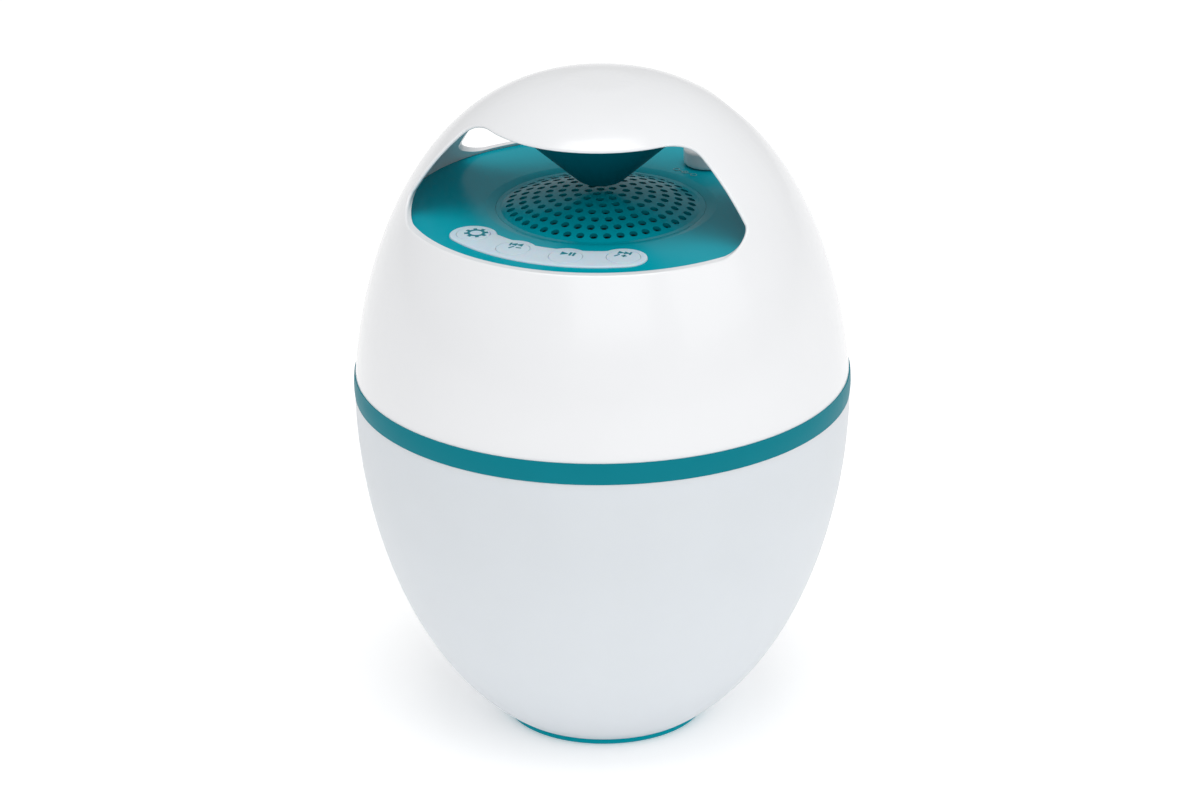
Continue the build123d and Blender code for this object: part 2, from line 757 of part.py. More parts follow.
def make_deck_seal():
    seal = ring(deck_seal_inner, shell_diameter, deck_seal_low, deck_seal_top)
    return seal & upper_egg(upper_wall + fit_gap / 4)


def grille_hole_places():
    """Centres of the grille's holes: rings with a near-constant pitch, each staggered to the next."""
    places = [(0.0, 0.0)]
    radius = grille_first_ring
    row = 0
    while radius > grille_ring_step * 0.6:
        count = round(2 * pi * radius / grille_hole_pitch)
        offset = 180 / count * (row % 2)
        places += [(x, y) for angle, x, y in around(count, radius, 90 + offset)]
        radius -= grille_ring_step
        row += 1
    return places


def make_grille():
    """Shallow perforated dome with a flat rim that rests on the deck's ledge."""
    centre_z = grille_apex_z - grille_sphere
    rim_inner = grille_radius - grille_rim_width
    inner_sphere = grille_sphere - grille_thickness
    wall_outer = rim_inner + grille_thickness
    shoulder = centre_z + sqrt(grille_sphere ** 2 - wall_outer ** 2)
    corner = centre_z + sqrt(inner_sphere ** 2 - rim_inner ** 2)
    mid_top = centre_z + sqrt(grille_sphere ** 2 - (wall_outer / 2) ** 2)
    mid_low = centre_z + sqrt(inner_sphere ** 2 - (rim_inner / 2) ** 2)
    top = ThreePointArc((0, grille_apex_z), (wall_outer / 2, mid_top), (wall_outer, shoulder))
    low = ThreePointArc((rim_inner, corner), (rim_inner / 2, mid_low), (0, grille_apex_z - grille_thickness))
    rim = Polyline((wall_outer, shoulder), (wall_outer, grille_rim_top), (grille_radius, grille_rim_top),
                   (grille_radius, ledge_z), (rim_inner, ledge_z), (rim_inner, corner))
    axis_side = Line((0, grille_apex_z - grille_thickness), (0, grille_apex_z))
    grille = revolve(Plane.XZ * make_face(top + rim + low + axis_side), Axis.Z)
    low_end = grille_rim_top
    cutters = [disc(grille_hole_radius, low_end, grille_apex_z + 1, x, y) for x, y in grille_hole_places()]
    return grille - cutters


# ---- Keys ----
def make_keypad_strip():
    strip = extrude(Pos(0, 0, strip_low) * strip_outline(0), strip_thickness)
    for x, y in key_places():
        strip -= disc(key_radius + key_slot_gap, strip_low - 1, strip_top + 1, x, y)
    return strip


def make_key(x, y):
    cap = disc(key_radius, key_cap_low, key_top, x, y)
    cap = fillet(cap.faces().sort_by(Axis.Z)[-1].edges(), key_edge_round)
    return cap + disc(key_post_radius, key_post_low, key_cap_low + 0.5, x, y)


def make_stem(x, y):
    return disc(switch_stem_radius, switch_top - 1.3, key_post_low, x, y)


def make_switch_bodies():
    bodies = []
    for x, y in key_places():
        turn = Rot(0, 0, degrees(atan2(y, x)))
        body = Pos(x, y, 0) * turn * block(switch_side, switch_side, key_board_top, switch_top)
        bodies.append(body - disc(switch_stem_radius + running_gap, switch_top - 2.1, switch_top + 1, x, y))
    return group(bodies)


def make_key_board():
    board = extrude(Pos(0, 0, key_board_low) * key_board_outline(), board_thickness)
    for x, y in key_board_screw_places():
        board -= disc(clearance_hole, key_board_low - 1, key_board_top + 1, x, y)
    return board


# ---- Charge socket ----
def make_charge_cap():
    low = deck_top_z + 0.1
    head = disc(cap_radius, low, low + cap_height, cap_x, cap_y)
    head = fillet(head.faces().sort_by(Axis.Z)[-1].edges(), 1.6)
    head = fillet(head.faces().sort_by(Axis.Z)[0].edges(), 1.6)
    stem = disc(cap_stem_radius, deck_top_z - cap_stem_length, low + 2, cap_x, cap_y)
    groove_low = deck_top_z - cap_stem_length + 2.0
    groove = ring(cap_stem_radius - cap_seal_section, cap_radius, groove_low, groove_low + 1.6, cap_x, cap_y)
    return head + stem - groove


def make_cap_seal():
    low = deck_top_z - cap_stem_length + 2.0
    outer = cap_stem_radius + running_gap / 2
    return ring(cap_stem_radius - cap_seal_section, outer, low, low + 1.6, cap_x, cap_y)


def make_charge_socket():
    top = well_floor_z - cap_well_floor
    body = disc(socket_radius, top - socket_length, top, cap_x, cap_y)
    body += disc(socket_nose_radius, top, well_floor_z + 0.8, cap_x, cap_y)
    return body - disc(socket_bore_radius, top - socket_length + 2, well_floor_z + 2, cap_x, cap_y)


# ---- Sound deflector ----
def make_deflector_cone():
    """Hollow cone, point down, that turns the sound outwards through the windows."""
    across = cone_wall * sqrt(1 + cone_slope ** 2)
    floor = cone_tip_z + cone_wall
    floor_radius = cone_tip_radius + cone_slope * cone_wall - across
    flange = cone_base_radius + cone_flange_width
    outline = Polyline(
        (0, cone_tip_z),
        (cone_tip_radius, cone_tip_z),
        (cone_base_radius, cone_base_z),
        (flange, cone_base_z),
        (flange, plate_low),
        (cone_base_radius + cone_slope * cone_flange_height - across, plate_low),
        (floor_radius, floor),
        (0, floor),
        close=True,
    )
    profile = make_face(outline)
    tip = profile.vertices().sort_by_distance((cone_tip_radius, cone_tip_z))[0]
    profile = fillet(tip, cone_tip_round)
    return revolve(Plane.XZ * profile, Axis.Z)


def make_deflector_plate():
    plate = disc(shell_diameter, plate_low, plate_high) & upper_egg(upper_wall + 3 * fit_gap)
    across = cone_wall * sqrt(1 + cone_slope ** 2)
    collar_low = plate_low - 3.0
    collar = cone_base_radius + cone_slope * (collar_low - cone_base_z) - across - fit_gap
    plate += ring(collar - 2.0, collar, collar_low, plate_low + 0.5)
    for angle, x, y in around(crown_boss_count, crown_boss_circle, 90):
        plate -= disc(clearance_hole, plate_low - 1, plate_high + 1, x, y)
    return plate


# ---- Leads ----
def make_speaker_lead():
    start = board_top + part_height
    tab_x = -basket_bottom_radius - 3.4
    points = [(-44, 0, start), (-44, 0, start + 9), (tab_x, 0, basket_low - 6), (tab_x, 0, basket_low + 1)]
    return lead(points, [4, 3])


def make_battery_lead():
    x = holder_half_length()
    y = main_board_width / 2 - 20
    points = [(x, y, frame_top + 4), (x + 10, y, frame_top + 4), (x + 10, y, board_low)]
    return lead(points, [4.5])


def make_light_lead():
    y = cell_y + cell_radius + 9
    middle = (frame_low + board_low) / 2
    points = [(0, y, frame_low), (0, y, middle - 2), (5, y + 2, middle + 6), (5, y + 2, board_low)]
    return lead(points, [5, 5])


def make_charge_lead():
    top = well_floor_z - cap_well_floor - socket_length
    end = main_board_width / 2 - 5
    points = [(cap_x, cap_y, top), (cap_x, cap_y, top - 9), (cap_x, end, board_top + 7), (cap_x, end, board_top)]
    return lead(points, [4, 3])


def make_key_ribbon():
    """Flat ribbon cable from the key board to its socket on the main board."""
    top_y = -key_circle + switch_side / 2 + 2.5
    end_y = -31
    end_z = board_top + part_height
    path = FilletPolyline((-6, top_y, key_board_low), (-6, top_y, end_z + 18), (-6, end_y, end_z + 7),
                          (-6, end_y, end_z), radius=[4, 3])
    section = Plane(origin=path @ 0, x_dir=(1, 0, 0), z_dir=path % 0) * Rectangle(5, 0.5)
    return sweep(section, path=path)


# ---- All the pieces by name ----
def build_parts():
    frame_spots = around(frame_bosses, boss_circle, 30)
    light_spots = around(3, light_board_radius - 5, 30)
    deck_spots = around(deck_bosses, deck_boss_pitch, 45)
    driver_spots = around(driver_screws_count, driver_screw_circle, 45)
    crown_spots = around(crown_boss_count, crown_boss_circle, 90)
    parts = {
        "base_foot": make_foot(),
        "lower_shell": make_lower_shell(),
        "upper_shell": make_upper_shell(),
        "band_ring": make_band(),
        "hull_seal": ring(neck_inner, neck_outer, seal_low, seal_high),
        "ballast_ring": ring(centre_boss_radius + 0.3, ballast_radius, floor_top, floor_top + ballast_height),
        "centre_pillar": make_pillar(),
        "tie_bolt": make_tie_bolt(),
        "tie_nut": make_tie_nut(),
        "mid_frame": make_mid_frame(),
        "frame_screws": group([screw_up(x, y, frame_low, 17) for a, x, y in frame_spots]),
        "light_board": make_light_board(),
        "light_chips": make_light_chips(),
        "light_screws": group([screw_up(x, y, light_board_low, 4.4) for a, x, y in light_spots]),
        "battery_holder": make_battery_holder(),
        "battery_cells": make_cells(),
        "battery_contacts": make_contacts(),
        "board_posts": make_board_posts(),
        "main_board": make_main_board(),
        "board_parts": make_board_parts(),
        "board_screws": group([screw_down(x, y, board_top, 6) for x, y in post_places()]),
        "driver_frame": make_driver_frame(),
        "driver_gasket": make_gasket(),
        "driver_screws": group([screw_up(x, y, driver_flange_low, 5.6) for a, x, y in driver_spots]),
        "top_plate": ring(coil_radius + 0.95, top_plate_radius, top_plate_low, basket_low),
        "magnet": ring(coil_radius + 3, magnet_radius, magnet_low, top_plate_low),
        "yoke": make_yoke(),
        "spider": ring(coil_radius + 0.1, basket_bottom_radius - 2.2, basket_low + 5, basket_low + 5.6),
        "voice_coil": make_voice_coil(),
        "diaphragm": make_diaphragm(),
        "dust_cap": make_dust_cap(),
        "surround": make_surround(),
        "deck": make_deck(),
        "deck_seal": make_deck_seal(),
        "deck_screws": group([screw_up(x, y, deck_flange_low, 8) for a, x, y in deck_spots]),
        "speaker_grille": make_grille(),
        "keypad_strip": make_keypad_strip(),
        "switch_bodies": make_switch_bodies(),
        "key_board": make_key_board(),
        "key_board_screws": group([screw_up(x, y, key_board_low, 7) for x, y in key_board_screw_places()]),
        "charge_cap": make_charge_cap(),
        "cap_seal": make_cap_seal(),
        "charge_socket": make_charge_socket(),
        "deflector_cone": make_deflector_cone(),
        "deflector_plate": make_deflector_plate(),
        "crown_screws": group([screw_up(x, y, plate_low, 5) for a, x, y in crown_spots]),
        "speaker_lead": make_speaker_lead(),
        "battery_lead": make_battery_lead(),
        "light_lead": make_light_lead(),
        "charge_lead": make_charge_lead(),
        "key_ribbon": make_key_ribbon(),
    }
    for name, (x, y) in zip(key_names, key_places()):
        parts["key_" + name] = make_key(x, y)
        parts["switch_stem_" + name] = make_stem(x, y)
    return parts


if __name__ == "__main__":
    os.makedirs("parts", exist_ok=True)
    for node, shape in build_parts().items():
        export_step(shape, "parts/" + node + ".step")
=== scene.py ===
import json
import math

import bpy
from mathutils import Euler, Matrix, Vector


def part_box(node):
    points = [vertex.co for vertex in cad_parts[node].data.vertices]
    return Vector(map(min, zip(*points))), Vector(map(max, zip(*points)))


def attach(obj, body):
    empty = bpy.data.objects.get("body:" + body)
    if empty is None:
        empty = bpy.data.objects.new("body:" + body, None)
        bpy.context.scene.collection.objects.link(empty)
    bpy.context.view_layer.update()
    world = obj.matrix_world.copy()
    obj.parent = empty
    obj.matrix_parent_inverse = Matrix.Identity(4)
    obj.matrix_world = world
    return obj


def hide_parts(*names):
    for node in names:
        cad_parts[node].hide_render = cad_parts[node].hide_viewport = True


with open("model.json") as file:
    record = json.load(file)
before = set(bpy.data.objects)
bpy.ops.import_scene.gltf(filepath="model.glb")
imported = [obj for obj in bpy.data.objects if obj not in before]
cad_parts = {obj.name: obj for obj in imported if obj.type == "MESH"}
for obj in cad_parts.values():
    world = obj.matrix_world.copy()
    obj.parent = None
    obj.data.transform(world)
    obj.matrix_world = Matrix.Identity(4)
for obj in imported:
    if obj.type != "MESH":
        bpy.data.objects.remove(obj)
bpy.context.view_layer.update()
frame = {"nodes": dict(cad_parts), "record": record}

bl_info = {
    "name": "Floating Party Speaker",
    "version": (1, 0, 0),
    "blender": (4, 5, 0),
    "location": "View3D > Sidebar > Speaker",
    "description": "Finishes, keypad, charge cap and studio of an egg-shaped floating speaker",
    "category": "Object",
}

MM = 0.001
KEYS = ("light", "previous", "play", "next")


def linear(code):
    """Linear RGB of an sRGB hex colour such as #0A7B8A."""
    parts = [int(code[i:i + 2], 16) / 255 for i in (1, 3, 5)]
    return [c / 12.92 if c <= 0.04045 else ((c + 0.055) / 1.055) ** 2.4 for c in parts]


def centre(node):
    """Middle of a CAD node's box."""
    low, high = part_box(node)
    return (low + high) / 2


def colour(name, code, text):
    """A colour property with its default as an sRGB hex value."""
    return bpy.props.FloatVectorProperty(
        name=name, description=text, subtype="COLOR", size=3, min=0, max=1, default=linear(code))


def length(name, metres, text):
    """A length property in metres."""
    return bpy.props.FloatProperty(name=name, description=text, unit="LENGTH", min=0, default=metres)


# ---------------------------------------------------------------- settings

class SpeakerSizes(bpy.types.PropertyGroup):
    """Sizes of the pieces that are added around the frame."""
    strip_round: length("Strip edge", 0.6 * MM, "Rounding of the keypad strip's top edges")
    key_dome: length("Key dome", 0.08 * MM, "How far each key's middle stands above its edge")
    key_round: length("Key edge", 0.15 * MM, "Rounding of each key's top edge")
    print_height: length("Print height", 0.16 * MM, "Thickness of the printed symbols, part of it sunk")
    gear_radius: length("Light symbol", 3.2 * MM, "Radius of the ring of the light symbol")
    gear_stroke: length("Light symbol line", 0.95 * MM, "Line width of the light symbol's ring")
    gear_tooth: length("Light symbol ray", 1.2 * MM, "Length of each ray of the light symbol")
    arrow: length("Arrow", 1.45 * MM, "Radius of the triangles in the track symbols")
    bar: length("Bar", 0.65 * MM, "Width of the bars in the symbols")
    key_clearance: length("Key clearance", 0.7 * MM, "Room under a resting key's skirt")
    key_post: length("Key post", 2.35 * MM, "Radius of each key's post")
    cap_round: length("Cap edge", 1.7 * MM, "Rounding of the charge cap's edges")
    cap_dish: length("Cap dish", 0.5 * MM, "Depth of the dish in the charge cap's top")
    cap_rim: length("Cap rim", 2.6 * MM, "Width of the level rim around the dish")
    cap_stem: length("Cap stem", 5.5 * MM, "Radius of the charge cap's stem")
    cap_groove: length("Cap groove", 0.9 * MM, "Depth of the seal's groove in the stem")
    mark_ring: length("Mark ring", 1.25 * MM, "Radius of each ring of the deck's sign")
    mark_line: length("Mark line", 0.3 * MM, "Line width of the deck's sign")
    mark_pitch: length("Mark pitch", 4.2 * MM, "Distance between the rings of the deck's sign")
    mark_inset: length("Mark inset", 12.5 * MM, "Distance of the sign from the cap's middle, inwards")


class SpeakerColours(bpy.types.PropertyGroup):
    """Colours of the speaker's finishes."""
    hood: colour("Hood", "#E9EAEC", "White gloss plastic of the hood and the cap")
    bowl: colour("Bowl", "#D6DBE0", "Milky plastic of the lower bowl")
    teal: colour("Teal", "#009AAA", "Gloss teal plastic of the deck and grille")
    # Painted shade: the teal of the cone and its plate is darkened for the shade under the hood.
    shaded_teal: colour("Shaded teal", "#00505C", "Teal of the cone, darkened as painted shade")
    band: colour("Band", "#007A88", "Satin teal of the band and the foot")
    keypad: colour("Keypad", "#C9DBE6", "Pale silicone of the keypad")
    symbol: colour("Symbols", "#007C8A", "Teal print on the keys")
    mark: colour("Deck mark", "#5FA3AC", "Pale print beside the charge cap")
    floor: colour("Floor", "#FBFBFB", "Floor of the studio")


def sizes():
    return bpy.context.scene.speaker_sizes


def colours():
    return bpy.context.scene.speaker_colours


# ---------------------------------------------------------------- materials

def add_node(tree, kind, values=None, links=None, **settings):
    """Adds a node, sets its properties and socket values, and links its inputs."""
    node = tree.nodes.new(kind)
    for name, value in settings.items():
        setattr(node, name, value)
    for socket, value in (values or {}).items():
        node.inputs[socket].default_value = value
    for socket, source in (links or {}).items():
        tree.links.new(source, node.inputs[socket])
    return node


def new_material(name):
    """Empty node material with its output, returned with its tree."""
    material = bpy.data.materials.new(name)
    material.use_nodes = True
    material.node_tree.nodes.clear()
    return material, material.node_tree


def finish_material(tree, shader):
    add_node(tree, "ShaderNodeOutputMaterial", links={"Surface": shader.outputs[0]})


def rgba(values):
    return (*values, 1.0)


def shade(values, factor):
    """A colour made a little lighter or darker."""
    return (*[min(1.0, v * factor) for v in values], 1.0)


def moulded(name, base, roughness, grain_mm, bump, spread=0.03, rough_spread=0.05, bore_shade=1.0,
            **shader_values):
    """Injection-moulded plastic or rubber: a faint mottle, uneven gloss and a fine skin texture.

    A value below 1 paints shade on the upright walls of small holes, darkening them by that factor.
    """
    material, tree = new_material(name)
    place = add_node(tree, "ShaderNodeTexCoord")
    mottle = add_node(tree, "ShaderNodeTexNoise", {"Scale": 1 / (24 * MM), "Detail": 3.0},
                      {"Vector": place.outputs["Object"]})
    tint = add_node(tree, "ShaderNodeValToRGB", links={"Fac": mottle.outputs["Fac"]})
    tint.color_ramp.elements[0].position = 0.3
    tint.color_ramp.elements[1].position = 0.7
    tint.color_ramp.elements[0].color = shade(base, 1 - spread)
    tint.color_ramp.elements[1].color = shade(base, 1 + spread)
    haze = add_node(tree, "ShaderNodeTexNoise", {"Scale": 1 / (9 * MM), "Detail": 4.0},
                    {"Vector": place.outputs["Object"]})
    gloss = add_node(tree, "ShaderNodeMapRange",
                     {"To Min": roughness - rough_spread, "To Max": roughness + rough_spread},
                     {"Value": haze.outputs["Fac"]})
    grain = add_node(tree, "ShaderNodeTexNoise", {"Scale": 1 / (grain_mm * MM), "Detail": 2.0},
                     {"Vector": place.outputs["Object"]})
    skin = add_node(tree, "ShaderNodeBump", {"Strength": bump, "Distance": 0.02 * MM},
                    {"Height": grain.outputs["Fac"]})
    base_colour = tint.outputs["Color"]
    if bore_shade < 1:
        base_colour = paint_bore_shade(tree, base_colour, bore_shade)
    shader = add_node(tree, "ShaderNodeBsdfPrincipled", shader_values,
                      {"Base Color": base_colour, "Roughness": gloss.outputs["Result"],
                       "Normal": skin.outputs["Normal"]})
    finish_material(tree, shader)
    return material


def paint_bore_shade(tree, base_colour, factor):
    """Painted shade: darkens the upright walls of small holes, where little light reaches."""
    facing = add_node(tree, "ShaderNodeNewGeometry")
    split = add_node(tree, "ShaderNodeSeparateXYZ", links={"Vector": facing.outputs["Normal"]})
    upright = add_node(tree, "ShaderNodeMath", links={0: split.outputs["Z"]}, operation="ABSOLUTE")
    light = add_node(tree, "ShaderNodeMapRange", {"From Min": 0.2, "From Max": 0.7, "To Min": factor},
                     {"Value": upright.outputs["Value"]})
    mix = add_node(tree, "ShaderNodeVectorMath", links={0: base_colour, 1: light.outputs["Result"]},
                   operation="MULTIPLY")
    return mix.outputs["Vector"]


def metal(name, base, roughness, grain_mm, stretch, bump):
    """Machined or cast metal: fine scratches or grit drawn out along one direction."""
    material, tree = new_material(name)
    place = add_node(tree, "ShaderNodeTexCoord")
    drawn = add_node(tree, "ShaderNodeMapping", {"Scale": (1.0, 1.0, stretch)},
                     {"Vector": place.outputs["Object"]})
    grain = add_node(tree, "ShaderNodeTexNoise", {"Scale": 1 / (grain_mm * MM), "Detail": 5.0},
                     {"Vector": drawn.outputs["Vector"]})
    tint = add_node(tree, "ShaderNodeValToRGB", links={"Fac": grain.outputs["Fac"]})
    tint.color_ramp.elements[0].color = shade(base, 0.82)
    tint.color_ramp.elements[1].color = shade(base, 1.1)
    gloss = add_node(tree, "ShaderNodeMapRange", {"To Min": roughness - 0.08, "To Max": roughness + 0.1},
                     {"Value": grain.outputs["Fac"]})
    skin = add_node(tree, "ShaderNodeBump", {"Strength": bump, "Distance": 0.05 * MM},
                    {"Height": grain.outputs["Fac"]})
    shader = add_node(tree, "ShaderNodeBsdfPrincipled", {"Metallic": 1.0},
                      {"Base Color": tint.outputs["Color"], "Roughness": gloss.outputs["Result"],
                       "Normal": skin.outputs["Normal"]})
    finish_material(tree, shader)
    return material


def circuit_board(name):
    """Glass-epoxy board under green solder mask, with tracks showing as a slightly raised, paler net."""
    material, tree = new_material(name)
    place = add_node(tree, "ShaderNodeTexCoord")
    tracks = add_node(tree, "ShaderNodeTexBrick",
                      {"Scale": 1 / (6 * MM), "Mortar Size": 0.06, "Color1": rgba(linear("#0F5A33")),
                       "Color2": rgba(linear("#11633A")), "Mortar": rgba(linear("#2A8A55"))},
                      {"Vector": place.outputs["Object"]})
    skin = add_node(tree, "ShaderNodeBump", {"Strength": 0.3, "Distance": 0.03 * MM},
                    {"Height": tracks.outputs["Fac"]})
    shader = add_node(tree, "ShaderNodeBsdfPrincipled", {"Roughness": 0.35, "Coat Weight": 0.3},
                      {"Base Color": tracks.outputs["Color"], "Normal": skin.outputs["Normal"]})
    finish_material(tree, shader)
    return material


def winding(name):
    """Enamelled copper wire wound in close turns about the vertical axis, drawn coarser than it is."""
    material, tree = new_material(name)
    place = add_node(tree, "ShaderNodeTexCoord")
    turns = add_node(tree, "ShaderNodeTexWave", {"Scale": 1 / (2.4 * MM), "Distortion": 0.2},
                     {"Vector": place.outputs["Object"]}, bands_direction="Z")
    tint = add_node(tree, "ShaderNodeValToRGB", links={"Fac": turns.outputs["Fac"]})
    tint.color_ramp.elements[0].color = rgba(linear("#6A3216"))
    tint.color_ramp.elements[1].color = rgba(linear("#C8703A"))
    skin = add_node(tree, "ShaderNodeBump", {"Strength": 0.6, "Distance": 0.1 * MM},
                    {"Height": turns.outputs["Fac"]})
    shader = add_node(tree, "ShaderNodeBsdfPrincipled", {"Metallic": 0.8, "Roughness": 0.3},
                      {"Base Color": tint.outputs["Color"], "Normal": skin.outputs["Normal"]})
    finish_material(tree, shader)
    return material


def make_materials():
    """One material for each of the record's slots, and those of the added pieces."""
    pick = colours()
    made = {}
    # Gloss ABS: a hard, even shine with the faint ripple that a polished mould leaves.
    made["white_shell"] = moulded("polished_white_abs", pick.hood, 0.2, 5.0, 0.06, 0.006, 0.03,
                                  **{"Coat Weight": 0.25, "Coat Roughness": 0.08})
    # Milky polycarbonate: light sinks in a little, so shadows are soft and the shine is satin.
    made["milky_bowl"] = moulded("milky_polycarbonate", pick.bowl, 0.42, 0.7, 0.12, 0.008, 0.03,
                                 **{"Subsurface Weight": 0.25, "Subsurface Scale": 6 * MM,
                                    "Subsurface Radius": (1.0, 1.0, 1.1)})
    # Gloss teal ABS: deep colour with mirror-like reflections at low angles.
    made["teal_plastic"] = moulded("polished_teal_abs", pick.teal, 0.16, 4.0, 0.04, 0.02, 0.03,
                                   **{"Specular IOR Level": 0.04})
    # The grille's teal carries painted shade on the upright walls of its holes.
    made["grille"] = moulded("perforated_teal_abs_painted_bore_shade", pick.teal, 0.2, 4.0, 0.04, 0.02, 0.03, 0.55,
                             **{"Specular IOR Level": 0.06})
    # The cone and its plate get teal darkened as painted shade, for the shade under the hood.
    made["deflector"] = moulded("teal_abs_painted_shade", pick.shaded_teal, 0.3, 1.5, 0.08, 0.03, 0.04,
                                **{"Specular IOR Level": 0.08})
    # Satin teal ABS: the same colour off a finely etched mould.
    made["teal_band"] = moulded("satin_teal_abs", pick.band, 0.42, 0.6, 0.15, 0.02, 0.05,
                                **{"Specular IOR Level": 0.08})
    # Silicone: soft, slightly see-through skin with a dull, wide shine.
    made["pale_silicone"] = moulded("pale_silicone", pick.keypad, 0.38, 0.5, 0.12, 0.01, 0.04,
                                    **{"Subsurface Weight": 0.3, "Subsurface Scale": 2 * MM})
    made["black_rubber"] = moulded("black_rubber", linear("#1B1B1C"), 0.7, 0.4, 0.4, 0.1)
    made["frame_plastic"] = moulded("plain_white_abs", linear("#D9DBDE"), 0.45, 0.8, 0.2)
    made["black_plastic"] = moulded("black_abs", linear("#202123"), 0.42, 0.6, 0.3, 0.1)
    made["board_green"] = circuit_board("green_solder_mask")
    made["chip_black"] = moulded("moulded_epoxy", linear("#1D1E20"), 0.55, 0.3, 0.4, 0.12)
    made["light_chip"] = moulded("phosphor_lens", linear("#E8D98A"), 0.25, 0.5, 0.1, 0.04)
    made["steel"] = metal("zinc_plated_steel", linear("#B9BCC0"), 0.32, 0.5, 6.0, 0.2)
    made["brass"] = metal("turned_brass", linear("#C9A45A"), 0.28, 0.4, 8.0, 0.2)
    made["iron"] = metal("cast_iron", linear("#3B3C3E"), 0.6, 0.8, 1.0, 0.8)
    made["ferrite"] = moulded("sintered_ferrite", linear("#2A2A2C"), 0.6, 0.6, 0.6, 0.1)
    made["copper"] = winding("enamelled_copper_wire")
    made["cell_wrap"] = moulded("shrink_sleeve", linear("#1F5C9E"), 0.3, 3.0, 0.3, 0.05)
    made["lead_black"] = moulded("wire_insulation", linear("#18181A"), 0.45, 0.5, 0.2, 0.1)
    made["ribbon_grey"] = moulded("ribbon_insulation", linear("#A9ACB0"), 0.45, 0.5, 0.2, 0.05)
    # Screen print: a thin matt layer of ink.
    made["symbol_print"] = moulded("teal_screen_print", pick.symbol, 0.5, 0.3, 0.2, 0.03)
    made["mark_print"] = moulded("pale_screen_print", pick.mark, 0.5, 0.3, 0.2, 0.03)
    return made


def dress(piece, material):
    """Gives a piece one material all over."""
    piece.data.materials.clear()
    piece.data.materials.append(material)


# ---------------------------------------------------------------- modelling helpers

def deselect():
    for other in bpy.context.selected_objects:
        other.select_set(False)
    bpy.context.view_layer.objects.active = None


def focus(piece):
    """Makes a piece the only selected and active object."""
    deselect()
    piece.select_set(True)
    bpy.context.view_layer.objects.active = piece


def edit(piece, mode="VERT"):
    focus(piece)
    bpy.ops.object.mode_set(mode="EDIT")
    bpy.ops.mesh.select_mode(type=mode)


def leave():
    bpy.ops.object.mode_set(mode="OBJECT")


def apply_place(piece):
    """Moves a piece's place into its mesh."""
    focus(piece)
    bpy.ops.object.transform_apply(location=True, rotation=True, scale=True)


def apply_modifiers(piece):
    focus(piece)
    for modifier in list(piece.modifiers):
        bpy.ops.object.modifier_apply(modifier=modifier.name)


def smooth(piece, angle=35):
    focus(piece)
    bpy.ops.object.shade_smooth_by_angle(angle=math.radians(angle))


def bevel(piece, width, segments=3, angle=35, limit="ANGLE"):
    """Rounds a piece's sharp edges, or its marked ones."""
    modifier = piece.modifiers.new("round", "BEVEL")
    modifier.width = width
    modifier.segments = segments
    modifier.limit_method = limit
    modifier.angle_limit = math.radians(angle)
    apply_modifiers(piece)


def lathe(name, profile, x=0.0, y=0.0, segments=96):
    """Turned piece: a ring drawn along a (radius, z) profile that starts and ends on the axis."""
    deselect()
    first_r, first_z = profile[1]
    bpy.ops.mesh.primitive_circle_add(vertices=segments, radius=first_r, location=(0, 0, 0))
    piece = bpy.context.object
    piece.name = name
    edit(piece)
    bpy.ops.mesh.select_all(action="SELECT")
    bpy.ops.transform.translate(value=(0, 0, first_z))
    bpy.ops.mesh.extrude_edges_move(TRANSFORM_OT_translate={"value": (0, 0, profile[0][1] - first_z)})
    bpy.ops.mesh.merge(type="CENTER")
    bpy.ops.mesh.select_all(action="DESELECT")
    leave()
    for vertex in piece.data.vertices:
        vertex.select = abs(vertex.co.z - first_z) < 1e-7 and vertex.co.xy.length > first_r * 0.5
    edit(piece)
    last_r, last_z = first_r, first_z
    for r, z in profile[2:-1]:
        bpy.ops.mesh.extrude_edges_move(TRANSFORM_OT_translate={"value": (0, 0, z - last_z)})
        bpy.ops.transform.resize(value=(r / last_r, r / last_r, 1))
        last_r, last_z = r, z
    bpy.ops.mesh.extrude_edges_move(TRANSFORM_OT_translate={"value": (0, 0, profile[-1][1] - last_z)})
    bpy.ops.mesh.merge(type="CENTER")
    bpy.ops.mesh.select_all(action="SELECT")
    bpy.ops.transform.translate(value=(x, y, 0))
    bpy.ops.mesh.normals_make_consistent(inside=False)
    leave()
    return piece


def arc(cx, cz, radius, start, end, steps=6):
    """Points of a round corner in a profile, angles in degrees from outwards, anticlockwise."""
    points = []
    for i in range(steps + 1):
        a = math.radians(start + (end - start) * i / steps)
        points.append((cx + radius * math.cos(a), cz + radius * math.sin(a)))
    return points


def copy_of(node, name):
    """Loose copy of a CAD node's mesh, merged and freed of needless edges, ready for shaping."""
    source = frame["nodes"][node]
    piece = bpy.data.objects.new(name, source.data.copy())
    bpy.context.scene.collection.objects.link(piece)
    edit(piece)
    bpy.ops.mesh.select_all(action="SELECT")
    bpy.ops.mesh.remove_doubles(threshold=0.002 * MM)
    bpy.ops.mesh.customdata_custom_splitnormals_clear()
    bpy.ops.mesh.dissolve_limited(angle_limit=math.radians(0.5))
    leave()
    return piece


def settle(piece, body, slot, *nodes):
    """Rides a finished piece on its body and hides the CAD nodes that it replaces."""
    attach(piece, body)
    if nodes:
        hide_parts(*nodes)


# ---------------------------------------------------------------- pieces

